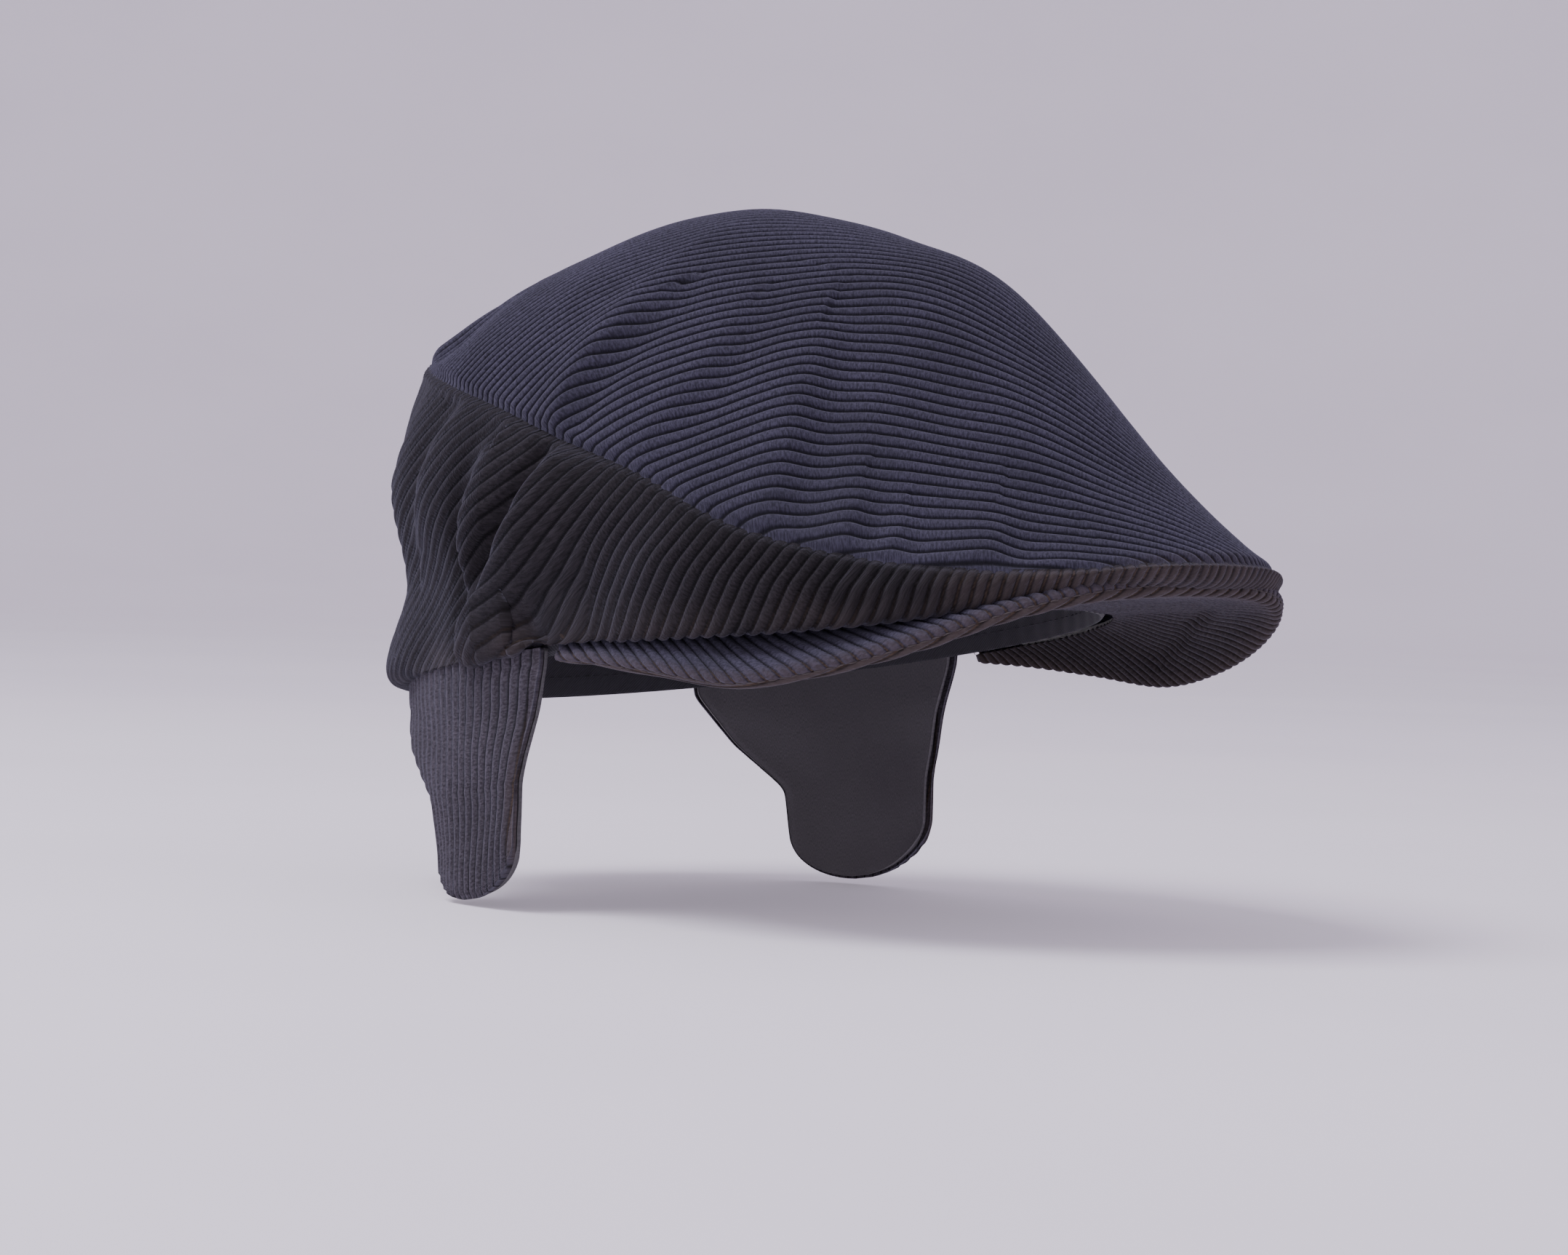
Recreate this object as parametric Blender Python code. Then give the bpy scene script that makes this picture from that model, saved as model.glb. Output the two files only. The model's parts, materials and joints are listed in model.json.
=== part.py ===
"""Corduroy flat cap with fold-down ear flaps, built as its sewn pieces.

Frame: metres, +Z up as worn, the peak points along -Y, the wearer's right is -X.
The origin is the middle of the head opening. Shapes are worked out in millimetres.
"""
import bpy
import numpy as np

MM = 0.001

# ---- head opening and hem -------------------------------------------------------------
HEAD_HALF_WIDTH = 81.0
HEAD_HALF_LENGTH = 101.0
HEM_SLOPE = 0.166            # rise of the hem line per millimetre towards the peak
LINING_TOP_Z = 106.0
LINING_CENTRE_F = 16.0       # the lining's highest point sits a little forward
LINING_FULLNESS = 0.92       # exponent below 1 makes the dome squarer than an ellipsoid

# ---- layers, as offsets outwards from the head oval -----------------------------------
SWEATBAND_LAYER = (-0.3, 0.9)
LINING_LAYER = (1.5, 2.3)
HEM_TUCK_OFFSET = 5.4        # outer face of the crown cloth where it reaches the hem
CLOTH = 2.5                  # thickness of the corduroy
SEAM_GAP = 0.3
LIP_SHARE = 0.28             # cloth thickness over lip height, where the side panel narrows to a lip
SEAM_CENTRE_F = 10.0
INSIDE = (0, 10, 40)         # a place in the middle of the cap
SWEATBAND_TOP_DEG = 13.0
LINING_SEAM_DEG = 45.0

# ---- the crown: half outlines from back centre to front centre (|x|, forward, up) -----
SEAM_LINE = [
    (0, -99.5, 87), (31.5, -94.5, 83), (56, -78.5, 77), (74.3, -52, 71.5), (84, -20.5, 64), (88.5, 5, 56.5),
    (90.3, 35, 48.5), (88.5, 67, 36), (74.5, 105, 28), (47.5, 140.2, 27.2), (24, 154, 29.8), (0, 158.3, 30.5),
]
BELLY_LINE = [
    (0, -109.8, 48), (34.5, -103, 47), (60.2, -86, 45), (79, -55, 42), (88.3, -20.5, 36), (91.5, 6, 32),
    (92.5, 37, 28.5), (90, 68, 22.5), (77, 104.5, 20.5), (49.5, 139.7, 24.5), (25, 154.6, 28), (0, 158.9, 29),
]
FOLD_LINE = [
    (0, -109.3, -17), (35, -101, -15.5), (60.6, -83.4, -12.5), (79.5, -49, -6), (88, -17.5, 0), (89.5, 5, 3),
    (91, 39, 5.5), (89, 68, 7.7), (69.5, 115, 15.2), (47.5, 139.7, 22.5), (24, 153.5, 26.7), (0, 157.8, 27.3),
]
SPINE_F = [-99.5, -50, -20, 10, 40, 70, 100, 130, 158.3]
SPINE_Z = [87, 110, 120, 121, 115, 104, 77, 49, 30.5]
DOME_F = [-99.5, -45, 10, 60, 110, 158.3]
DOME_POWER = [1.2, 0.8, 0.7, 1.1, 1.3, 1.3]

# ---- the peak -------------------------------------------------------------------------
PEAK_EDGE = [
    (0, 152.5, 21.3), (21.5, 150.8, 20.8), (40.5, 145.5, 18.4), (58, 133.5, 12.7), (68, 121, 6.5),
    (80.5, 98, -1.8), (88.3, 74, -6.7), (90, 46, -4.8), (87.5, 22, -3), (85.5, 8, -2.5),
]
PEAK_CORNER_DEG = 86.0
PEAK_INNER_OFFSET = 3.2
PEAK_UNDER_DROP = 1.0        # the under cover starts this far below the hem line
PEAK_COVER = 1.4
PEAK_BOARD = 1.2
PEAK_ARCH = 0.5              # how far the middle of the peak rises above a straight rule
PEAK_CORNER_THIN = 0.5       # layers thin to this share at the corners
PEAK_STATIONS = 35           # points along the peak's outline
BOARD_INSET = 0.06           # share of the peak's depth that the board stays inside its covers
PEAK_BELOW = (0, 60, -200)   # a place under the peak
STACK_CLEARANCE = 2.4        # from the top cover up to the crown cloth that lies over it

# ---- the ear flaps --------------------------------------------------------------------
FLAP_FRONT_DEG = 90.0
FLAP_BACK_DEG = 138.0
FLAP_DROP = 3.0              # from the hem line down to the flap's top edge
FLAP_LENGTH = 60.0
FLAP_TIP_ROUND = 15.0        # the last stretch of its length, where the tip rounds off
FLAP_OUTER_LAYER = (3.0, 5.2)
FLAP_LINING_LAYER = (0.6, 2.7)
FLAP_LEAN = 0.03             # inward lean per millimetre of depth
FLAP_DEPTHS = [0, 16, 31, 60]
FLAP_FRONT_EDGE = [0.0, 0.05, 0.09, 0.09]      # share of the top edge's length
FLAP_BACK_EDGE = [1.0, 0.855, 0.66, 0.60]


def hermite(knots, values, t):
    """Smooth curve through the values, with three-point slopes."""
    knots, values, t = np.asarray(knots, float), np.asarray(values, float), np.asarray(t, float)
    step = np.diff(knots)[:, None]
    rise = np.diff(values, axis=0) / step
    slope = np.empty_like(values)
    slope[1:-1] = (rise[:-1] * step[1:] + rise[1:] * step[:-1]) / (step[1:] + step[:-1])
    slope[0], slope[-1] = rise[0], rise[-1]
    i = np.clip(np.searchsorted(knots, t, side="right") - 1, 0, len(knots) - 2)
    h = step[i]
    u = ((t - knots[i])[:, None]) / h
    return (
        values[i] * (1 + 2 * u) * (1 - u) ** 2 + slope[i] * h * u * (1 - u) ** 2
        + values[i + 1] * u * u * (3 - 2 * u) + slope[i + 1] * h * u * u * (u - 1)
    )


def half_outline(points, count):
    """Evenly spaced points along a half outline whose two ends lie on the middle plane."""
    points = np.array(points, float)
    mirrored = [-1, 1, 1]
    whole = np.vstack([points[2:0:-1] * mirrored, points, points[-2:-4:-1] * mirrored])
    knots = np.r_[0, np.cumsum(np.linalg.norm(np.diff(whole, axis=0), axis=1))]
    t = np.linspace(knots[2], knots[-3], count)
    return hermite(knots, whole, t)


def side_line(points, count):
    """Evenly spaced points along an open line, without mirrored ends."""
    points = np.array(points, float)
    knots = np.r_[0, np.cumsum(np.linalg.norm(np.diff(points, axis=0), axis=1))]
    return hermite(knots, points, np.linspace(0, knots[-1], count))


def oval(angle, offset):
    """A point of the head oval, by its angle from the front towards the side; x is positive."""
    return (HEAD_HALF_WIDTH + offset) * np.sin(angle), (HEAD_HALF_LENGTH + offset) * np.cos(angle)


def hem_point(angle, offset, rise=0.0):
    x, f = oval(angle, offset)
    return np.stack([x, f, HEM_SLOPE * f + rise + np.zeros_like(x)], -1)


def head_dome(angle, climb, offset):
    """The rounded dome over the head that the lining follows; climb runs from 0 at the hem."""
    x, f = oval(angle, offset)
    out = np.cos(climb) ** LINING_FULLNESS
    up = np.sin(climb) ** LINING_FULLNESS
    base = HEM_SLOPE * f
    return np.stack(
        [x * out, f * out + LINING_CENTRE_F * (1 - out), base + (LINING_TOP_Z + offset - base) * up], -1
    )


SEAM_DENSE = half_outline(SEAM_LINE, 1200)
SPINE_DENSE_F = np.linspace(SPINE_F[0], SPINE_F[-1], 600)
SPINE_DENSE = hermite(SPINE_F, np.array(SPINE_Z, float)[:, None], SPINE_DENSE_F)[:, 0]


def dome_height(x, f):
    """Height of the top panel over a point of its plan."""
    width = np.interp(f, SEAM_DENSE[:, 1], SEAM_DENSE[:, 0])
    edge = np.interp(f, SEAM_DENSE[:, 1], SEAM_DENSE[:, 2])
    ridge = np.interp(f, SPINE_DENSE_F, SPINE_DENSE)
    share = np.clip(np.abs(x) / np.maximum(width, 1e-6), 0, 1)
    return edge + (ridge - edge) * (1 - share**2) ** np.interp(f, DOME_F, DOME_POWER)


def normals(grid, away_from, wrap=False):
    """Unit normals of a grid of points, turned together so that they mostly point away from a place."""
    if wrap:
        along = np.roll(grid, -1, 0) - np.roll(grid, 1, 0)
    else:
        along = np.gradient(grid, axis=0)
    across = np.gradient(grid, axis=1)
    n = np.cross(along, across)
    n /= np.maximum(np.linalg.norm(n, axis=2, keepdims=True), 1e-9)
    return n * np.sign(np.sum(n * (grid - np.array(away_from, float))))


def cloth_at(seam, fold):
    """Cloth thickness along the seam: thinner where the side panel is only a narrow lip."""
    return np.minimum(CLOTH, LIP_SHARE * (seam[:, 2] - fold[:, 2]))[:, None]


def mitre(seam):
    """Direction from the seam into the cap that both panels' cut edges share."""
    inward = -seam * [1, 1, 0] + [0, SEAM_CENTRE_F, 0]
    inward /= np.linalg.norm(inward, axis=1, keepdims=True)
    return inward * 0.75 + [0, 0, -0.75]


def to_world(points, side):
    """(x, forward, up) in millimetres to metres, with x mirrored on the wearer's right."""
    return points * np.array([side, -1, 1]) * MM


def facing_out(vertices, faces):
    """The faces as they are, or all turned round when the solid is inside out."""
    points = np.array(vertices)
    volume = 0.0
    for face in faces:
        a = points[face[0]]
        for i in range(1, len(face) - 1):
            volume += np.dot(a, np.cross(points[face[i]], points[face[i + 1]]))
    return faces if volume > 0 else [face[::-1] for face in faces]


def add_object(name, vertices, faces, material, parent=None):
    mesh = bpy.data.meshes.new(name)
    origin = np.array(parent.location) if parent else np.zeros(3)
    mesh.from_pydata([tuple(v - origin) for v in vertices], [], facing_out(vertices, faces))
    mesh.materials.append(material)
    mesh.shade_smooth()
    mesh.set_sharp_from_angle(angle=np.radians(50))
    obj = bpy.data.objects.new(name, mesh)
    bpy.context.scene.collection.objects.link(obj)
    obj.parent = parent
    return obj


def sheet_solid(name, outer, inner, side, material, wrap=False, parent=None):
    """A closed sheet between two matching grids; wrap joins the last row to the first."""
    rows, columns = outer.shape[:2]
    vertices = np.vstack([to_world(outer.reshape(-1, 3), side), to_world(inner.reshape(-1, 3), side)])
    half = rows * columns
    faces = []
    last = rows if wrap else rows - 1
    for i in range(last):
        j = (i + 1) % rows
        for k in range(columns - 1):
            a, b, c, d = i * columns + k, j * columns + k, j * columns + k + 1, i * columns + k + 1
            faces.append((a, b, c, d))
            faces.append((half + d, half + c, half + b, half + a))
        for k, turn in ((0, 1), (columns - 1, -1)):
            a, b = i * columns + k, j * columns + k
            faces.append((a, half + a, half + b, b)[::turn])
    if not wrap:
        for i, turn in ((0, -1), (rows - 1, 1)):
            for k in range(columns - 1):
                a, b = i * columns + k, i * columns + k + 1
                faces.append((a, half + a, half + b, b)[::turn])
    return add_object(name, vertices, faces, material, parent)


def dome_solid(name, rings_outer, rings_inner, top_outer, top_inner, material):
    """A closed cap-shaped shell: rings of points from the rim inwards, closed by one top point each side."""
    rings, around = rings_outer.shape[:2]
    vertices = np.vstack([
        to_world(rings_outer.reshape(-1, 3), 1), to_world(rings_inner.reshape(-1, 3), 1),
        to_world(np.array([top_outer, top_inner], float), 1),
    ])
    half = rings * around
    faces = []
    for k in range(around):
        n = (k + 1) % around
        for i in range(rings - 1):
            a, b, c, d = i * around + k, i * around + n, (i + 1) * around + n, (i + 1) * around + k
            faces.append((a, b, c, d))
            faces.append((half + d, half + c, half + b, half + a))
        a, b = (rings - 1) * around + k, (rings - 1) * around + n
        faces.append((a, b, 2 * half))
        faces.append((half + b, half + a, 2 * half + 1))
        faces.append((n, k, half + k, half + n))
    return add_object(name, vertices, faces, material)


def fabric(name, colour, roughness):
    material = bpy.data.materials.new(name)
    material.use_nodes = True
    shader = material.node_tree.nodes["Principled BSDF"]
    shader.inputs["Base Color"].default_value = (*colour, 1)
    shader.inputs["Roughness"].default_value = roughness
    shader.inputs["Metallic"].default_value = 0.0
    return material


def crown_top_panel(material):
    """One large panel from the back seam over the head to the front lip, sewn round its edge."""
    around, steps = 60, [1, 0.97, 0.9, 0.8, 0.66, 0.5, 0.34, 0.17]
    half = half_outline(SEAM_LINE, around // 2 + 1)
    rim = np.vstack([half, half[-2:0:-1] * [-1, 1, 1]])
    fold = half_outline(FOLD_LINE, around // 2 + 1)
    thick = cloth_at(half, fold)
    thick = np.vstack([thick, thick[-2:0:-1]])
    centre = np.array([0.0, SEAM_CENTRE_F])
    rings = []
    for share in steps:
        plan = centre + (rim[:, :2] - centre) * share
        height = dome_height(plan[:, 0], plan[:, 1]) if share < 1 else rim[:, 2]
        rings.append(np.column_stack([plan, height]))
    outer = np.array(rings)
    normal = normals(outer.transpose(1, 0, 2), INSIDE, wrap=True).transpose(1, 0, 2)
    inner = outer - normal * thick
    inner[0] = outer[0] + mitre(outer[0]) * thick
    outer[0, :, 2] += 0.5 * SEAM_GAP
    inner[0, :, 2] += 0.5 * SEAM_GAP
    top = np.array([0, centre[1], dome_height(np.zeros(1), centre[1:])[0]])
    return dome_solid("crown_top_panel", outer, inner, top, top - [0, 0, CLOTH], material)


def crown_side_profile(count):
    """Outer face of one side panel: seam, belly, fold and the tuck back in to the hem."""
    seam, belly, fold = (half_outline(line, count) for line in (SEAM_LINE, BELLY_LINE, FOLD_LINE))
    angle = np.pi - np.arctan2(fold[:, 0] / HEAD_HALF_WIDTH, -fold[:, 1] / HEAD_HALF_LENGTH)
    front = np.clip((np.radians(95) - angle) / np.radians(12), 0, 1)
    over_peak = PEAK_COVER * 2 + PEAK_BOARD + 2 * SEAM_GAP + STACK_CLEARANCE - PEAK_UNDER_DROP
    tuck = hem_point(angle, HEM_TUCK_OFFSET, 0.6)
    tuck[:, 2] += front * over_peak
    tuck[:, :2] = np.where((front > 0)[:, None], tuck[:, :2] * 1.02, tuck[:, :2])
    upper = 0.5 * (seam + belly)
    lower = 0.5 * (belly + fold)
    return np.stack([seam, upper, belly, lower, fold, 0.5 * (fold + tuck), tuck], 1)


def crown_side_panel(name, side, material):
    outer = crown_side_profile(44)
    thick = cloth_at(outer[:, 0], outer[:, 4])
    inner = outer - normals(outer, INSIDE) * thick[:, None]
    inner[:, 0] = outer[:, 0] + mitre(outer[:, 0]) * thick
    for face in (outer, inner):
        face[:, 0, 2] -= 0.5 * SEAM_GAP
        face[0, :, 0] = 0.5 * SEAM_GAP
        face[-1, :, 0] = 0.5 * SEAM_GAP
    return sheet_solid(name, outer, inner, side, material)


def lining_top(material):
    around, climbs = 40, np.radians([LINING_SEAM_DEG + 0.15, 55, 66, 77, 85])
    angle = np.linspace(0, 2 * np.pi, around, endpoint=False)
    layers = [
        np.array([head_dome(angle, climb, offset) for climb in climbs]) for offset in LINING_LAYER[::-1]
    ]
    tops = [(0, LINING_CENTRE_F, LINING_TOP_Z + offset) for offset in LINING_LAYER[::-1]]
    return dome_solid("lining_top", layers[0], layers[1], tops[0], tops[1], material)


def lining_side(name, side, material):
    angle = np.radians(np.linspace(0.15, 179.85, 23))[:, None]
    climb = np.radians(np.linspace(1.2, LINING_SEAM_DEG - 0.15, 7))[None, :]
    outer, inner = (head_dome(angle, climb, offset) for offset in LINING_LAYER[::-1])
    return sheet_solid(name, outer, inner, side, material)


def sweatband(material):
    angle = np.linspace(0, 2 * np.pi, 56, endpoint=False)[:, None]
    climb = np.radians([0.0, SWEATBAND_TOP_DEG / 2, SWEATBAND_TOP_DEG])[None, :]
    inner, outer = (head_dome(angle, climb, offset) for offset in SWEATBAND_LAYER)
    return sheet_solid("sweatband", outer, inner, 1, material, wrap=True)


def peak_surface(rows, columns, inset=0.0):
    """Underside of the peak: rows run from the right corner round the front to the left corner."""
    half = np.linspace(0, np.radians(PEAK_CORNER_DEG), rows // 2 + 1)
    inner_half = hem_point(half, PEAK_INNER_OFFSET, -PEAK_UNDER_DROP)
    outline = np.array(PEAK_EDGE, float)
    whole = np.vstack([outline[:0:-1] * [-1, 1, 1], outline])
    outer_half = side_line(whole, 2 * (rows // 2) + 1)[rows // 2:]
    mirror = [-1, 1, 1]
    inner = np.vstack([inner_half[:0:-1] * mirror, inner_half])
    outer = np.vstack([outer_half[:0:-1] * mirror, outer_half])
    share = np.linspace(inset, 1 - inset, columns)[None, :, None]
    grid = inner[:, None] * (1 - share) + outer[:, None] * share
    grid[:, :, 2] += PEAK_ARCH * 4 * share[:, :, 0] * (1 - share[:, :, 0])
    return grid


def peak_layer(name, start, thickness, material, inset=0.0, trim=0):
    """One sheet of the peak, from start to start + thickness above the under face."""
    base = peak_surface(PEAK_STATIONS, 6, inset)
    normal = normals(base, PEAK_BELOW)
    middle = (len(base) - 1) / 2
    turn = np.abs(np.arange(len(base)) - middle) / middle
    thin = 1 - (1 - PEAK_CORNER_THIN) * np.clip((turn - 0.7) / 0.3, 0, 1) ** 2
    thin = thin[:, None, None]
    lower = base + normal * start * thin
    upper = base + normal * (start + thickness) * thin
    if trim:
        lower, upper = lower[trim:-trim], upper[trim:-trim]
    return sheet_solid(name, upper, lower, 1, material)


def hem_angles(shares):
    """Angles round the hem at shares of the flap's top edge, by arc length."""
    angle = np.radians(np.linspace(FLAP_FRONT_DEG, FLAP_BACK_DEG, 400))
    line = hem_point(angle, 0)
    length = np.r_[0, np.cumsum(np.linalg.norm(np.diff(line, axis=0), axis=1))]
    return np.interp(shares, length / length[-1], angle)


def flap_grid(offset):
    """One face of an ear flap: rows go down from the hem, columns from its front edge to its back edge."""
    depths = np.r_[np.linspace(0, FLAP_LENGTH - FLAP_TIP_ROUND, 9),
                   FLAP_LENGTH - FLAP_TIP_ROUND + FLAP_TIP_ROUND * np.sin(np.radians([25, 48, 68, 84]))]
    rows = []
    for depth in depths:
        front = np.interp(depth, FLAP_DEPTHS, FLAP_FRONT_EDGE)
        back = np.interp(depth, FLAP_DEPTHS, FLAP_BACK_EDGE)
        middle, half = 0.5 * (front + back), 0.5 * (back - front)
        past = max(0.0, depth - (FLAP_LENGTH - FLAP_TIP_ROUND)) / FLAP_TIP_ROUND
        half *= np.sqrt(max(0.0, 1 - past**2))
        angle = hem_angles(np.linspace(middle - half, middle + half, 11))
        point = hem_point(angle, offset - FLAP_LEAN * depth, -FLAP_DROP)
        point[:, 2] -= depth
        rows.append(point)
    return np.array(rows)


def flap_hinge_ends():
    """Front and back end of the line that a flap folds about, just inside and below the hem."""
    angle = np.radians([FLAP_FRONT_DEG, FLAP_BACK_DEG])
    return hem_point(angle, -0.5, -1.5)


def flap_pivot(name, side):
    """Empty at the front end of the fold line; the flap's pieces are its children."""
    pivot = bpy.data.objects.new(name, None)
    pivot.location = to_world(flap_hinge_ends()[0], side)
    bpy.context.scene.collection.objects.link(pivot)
    return pivot


def ear_flap(prefix, side, cloth, lining):
    pivot = flap_pivot(prefix + "_fold_line", side)
    for part, layer, material in (("outer", FLAP_OUTER_LAYER, cloth), ("lining", FLAP_LINING_LAYER, lining)):
        inner, outer = (flap_grid(offset) for offset in layer)
        sheet_solid(f"{prefix}_{part}", outer, inner, side, material, parent=pivot)


def main():
    for obj in list(bpy.data.objects):
        bpy.data.objects.remove(obj, do_unlink=True)
    corduroy = fabric("corduroy", (0.045, 0.043, 0.065), 0.95)
    satin = fabric("satin_lining", (0.02, 0.02, 0.025), 0.45)
    band = fabric("sweatband_twill", (0.03, 0.03, 0.035), 0.8)
    board = fabric("peak_board_plastic", (0.6, 0.6, 0.58), 0.5)
    crown_top_panel(corduroy)
    crown_side_panel("crown_side_panel_right", -1, corduroy)
    crown_side_panel("crown_side_panel_left", 1, corduroy)
    lining_top(satin)
    lining_side("lining_side_right", -1, satin)
    lining_side("lining_side_left", 1, satin)
    sweatband(band)
    peak_layer("peak_under_cover", 0, PEAK_COVER, corduroy)
    board_start = PEAK_COVER + SEAM_GAP
    peak_layer("peak_board", board_start, PEAK_BOARD, board, inset=BOARD_INSET, trim=2)
    peak_layer("peak_top_cover", board_start + PEAK_BOARD + SEAM_GAP, PEAK_COVER, corduroy)
    ear_flap("ear_flap_right", -1, corduroy, satin)
    ear_flap("ear_flap_left", 1, corduroy, satin)


main()
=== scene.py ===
"""Looks of the corduroy flat cap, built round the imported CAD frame.

Shapes are worked out in millimetres as (x, forward, up) and turned into the frame's metres at
the end: the peak points along -Y and the wearer's right is -X. The corduroy's ribs (wales) are
real relief; every cloth carries a "weave" UV map, counted in wales across and millimetres along.
"""

import json
import math

import bpy
import numpy as np
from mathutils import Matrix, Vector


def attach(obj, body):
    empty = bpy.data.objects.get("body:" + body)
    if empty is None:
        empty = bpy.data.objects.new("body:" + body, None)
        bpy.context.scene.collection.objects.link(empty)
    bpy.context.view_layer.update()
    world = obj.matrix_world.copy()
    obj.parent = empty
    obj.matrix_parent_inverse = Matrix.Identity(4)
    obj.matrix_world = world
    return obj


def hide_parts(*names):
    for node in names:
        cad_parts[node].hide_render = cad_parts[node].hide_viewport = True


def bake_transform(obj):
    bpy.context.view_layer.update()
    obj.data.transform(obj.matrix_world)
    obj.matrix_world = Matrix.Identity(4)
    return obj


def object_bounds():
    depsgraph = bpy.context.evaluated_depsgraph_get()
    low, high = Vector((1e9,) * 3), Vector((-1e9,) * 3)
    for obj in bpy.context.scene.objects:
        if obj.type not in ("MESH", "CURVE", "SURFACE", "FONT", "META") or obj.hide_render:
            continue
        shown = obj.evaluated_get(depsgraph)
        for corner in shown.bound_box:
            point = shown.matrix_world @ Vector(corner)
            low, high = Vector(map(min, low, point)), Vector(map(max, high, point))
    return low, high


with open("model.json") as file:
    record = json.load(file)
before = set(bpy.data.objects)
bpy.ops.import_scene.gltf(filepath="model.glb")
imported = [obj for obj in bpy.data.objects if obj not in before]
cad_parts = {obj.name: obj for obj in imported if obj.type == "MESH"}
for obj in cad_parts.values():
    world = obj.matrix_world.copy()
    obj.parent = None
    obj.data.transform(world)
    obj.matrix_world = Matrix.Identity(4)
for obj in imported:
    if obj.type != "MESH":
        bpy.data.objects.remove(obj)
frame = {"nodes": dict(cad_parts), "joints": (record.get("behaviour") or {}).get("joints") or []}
cad_low, cad_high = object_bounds()

MM = 0.001

# ---- the cap's outlines, as half lines from back centre to front centre (|x|, forward, up) ----
HEAD_HALF_WIDTH, HEAD_HALF_LENGTH, HEM_SLOPE = 81.0, 101.0, 0.166
LINING_TOP_Z, LINING_CENTRE_F, LINING_FULLNESS = 106.0, 16.0, 0.92
LINING_SEAM_DEG, SWEATBAND_TOP_DEG = 45.0, 13.0
HEM_TUCK_OFFSET = 5.4
INSIDE = (0, 10, 40)
SEAM_CENTRE_F = 10.0
PEAK_BELOW = (0, 60, -200)
SEAM_LINE = [
    (0, -99.5, 87), (31.5, -94.5, 83), (56, -78.5, 77), (74.3, -52, 71.5), (84, -20.5, 64), (88.5, 5, 56.5),
    (90.3, 35, 48.5), (88.5, 67, 36), (74.5, 105, 28), (47.5, 140.2, 27.2), (24, 154, 29.8), (0, 158.3, 30.5),
]
BELLY_LINE = [
    (0, -109.8, 48), (34.5, -103, 47), (60.2, -86, 45), (79, -55, 42), (88.3, -20.5, 36), (91.5, 6, 32),
    (92.5, 37, 28.5), (90, 68, 22.5), (77, 104.5, 20.5), (49.5, 139.7, 24.5), (25, 154.6, 28), (0, 158.9, 29),
]
FOLD_LINE = [
    (0, -109.3, -17), (35, -101, -15.5), (60.6, -83.4, -12.5), (79.5, -49, -6), (88, -17.5, 0), (89.5, 5, 3),
    (91, 39, 5.5), (89, 68, 7.7), (69.5, 115, 15.2), (47.5, 139.7, 22.5), (24, 153.5, 26.7), (0, 157.8, 27.3),
]
SPINE_F = [-99.5, -50, -20, 10, 40, 70, 100, 130, 158.3]
SPINE_Z = [87, 110, 120, 121, 115, 104, 77, 49, 30.5]
DOME_F = [-99.5, -45, 10, 60, 110, 158.3]
DOME_POWER = [1.2, 0.8, 0.7, 1.1, 1.3, 1.3]
PEAK_EDGE = [
    (0, 152.5, 21.3), (21.5, 150.8, 20.8), (40.5, 145.5, 18.4), (58, 133.5, 12.7), (68, 121, 6.5),
    (80.5, 98, -1.8), (88.3, 74, -6.7), (90, 46, -4.8), (87.5, 22, -3), (85.5, 8, -2.5),
]
PEAK_CORNER_DEG, PEAK_INNER_OFFSET, PEAK_UNDER_DROP, PEAK_ARCH = 86.0, 3.2, 1.0, 0.5
PEAK_STACK = 4.6             # both covers and the board between them
PEAK_CORNER_THIN = 0.5
FLAP_FRONT_DEG, FLAP_BACK_DEG, FLAP_DROP, FLAP_LENGTH = 90.0, 138.0, 3.0, 60.0
FLAP_TIP_ROUND, FLAP_LEAN = 15.0, 0.03
FLAP_DEPTHS = [0, 16, 31, 60]
FLAP_TUCK = 4.0              # cloth tucked up inside the hem above the flap
FLAP_FRONT_EDGE = [0.0, 0.05, 0.09, 0.09]
FLAP_BACK_EDGE = [1.0, 0.855, 0.66, 0.60]
FLAP_OUTER_LAYER, FLAP_LINING_LAYER = (3.0, 5.2), (0.6, 2.9)     # outwards from the head oval
FLAP_LINING_INSET = 0.8      # the lining stops this far inside the outer cloth

# ---- corduroy ---------------------------------------------------------------------------------
TOP_PITCH = 3.0              # wale spacing
TOP_BIAS_DEG = 43.0          # the top panel is cut on the bias: its wales run forward and to the left
SIDE_PITCH = 3.4
PEAK_PITCH = 3.6
UNDER_PITCH = 3.6
UNDER_TURN_DEG = -50.0       # the under cover is cut on the bias
FLAP_PITCH = 3.9
# where along the flap's top edge its straight wale is, and how far the others draw in by the tip
FLAP_WALE_AXIS, FLAP_GATHER = 0.37, 0.3
WALE_RISE = 0.28             # relief as a share of the spacing
COLUMNS_PER_WALE = 6         # grid columns across each wale of the top panel
SIDE_TURN_A = [0, 60, 115, 138, 160, 182, 260, 288, 330, 380]       # along the side panel
SIDE_TURN_DEG = [48, 50, 51, 46, 53, 62, 64, 76, 86, 90]            # how far the wales climb


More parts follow.
